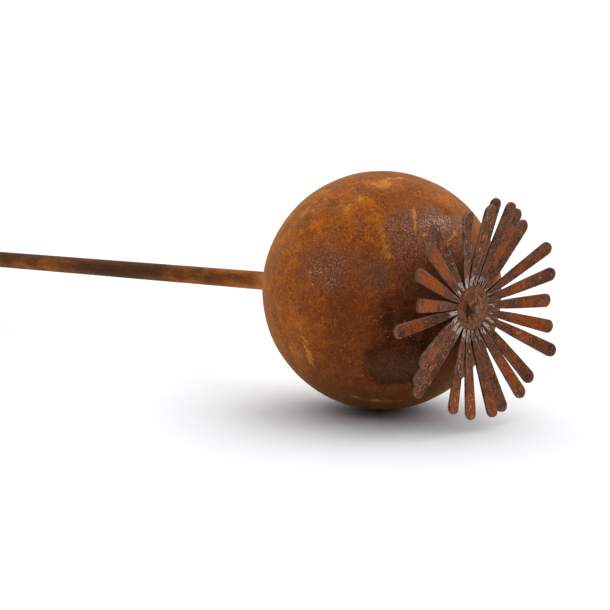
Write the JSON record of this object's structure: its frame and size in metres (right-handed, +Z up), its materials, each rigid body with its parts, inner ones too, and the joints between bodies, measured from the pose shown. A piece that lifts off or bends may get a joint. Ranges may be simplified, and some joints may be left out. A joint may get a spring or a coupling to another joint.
{
  "type": "poppy seed head garden stake",
  "caption": "Rusted steel garden ornament shaped like a poppy seed head: a hollow ball on a straight round bar, with a crown of bent rays.",
  "frame": {"origin": "middle of the ball's small flat rest spot, on the surface that the ornament lies on", "axes": "+Z up from the surface, +X from the bar's far end towards the crown, so the bar runs to -X"},
  "size_m": [1.1208, 0.1198, 0.1197],
  "materials": {
    "ball_rust": "rusted orange-brown with dark purple-brown patches",
    "stake_rust": "rusted brown, matte",
    "crown_rust": "dark chocolate rust with orange patches and pale worn flecks",
    "weld_rust": "rusted weld bead, lumpy"
  },
  "bodies": {
    "root": {"ball": "ball_rust", "stake": "stake_rust", "stake_weld": "weld_rust", "crown": "crown_rust", "crown_weld": "weld_rust"}
  },
  "joints": []
}
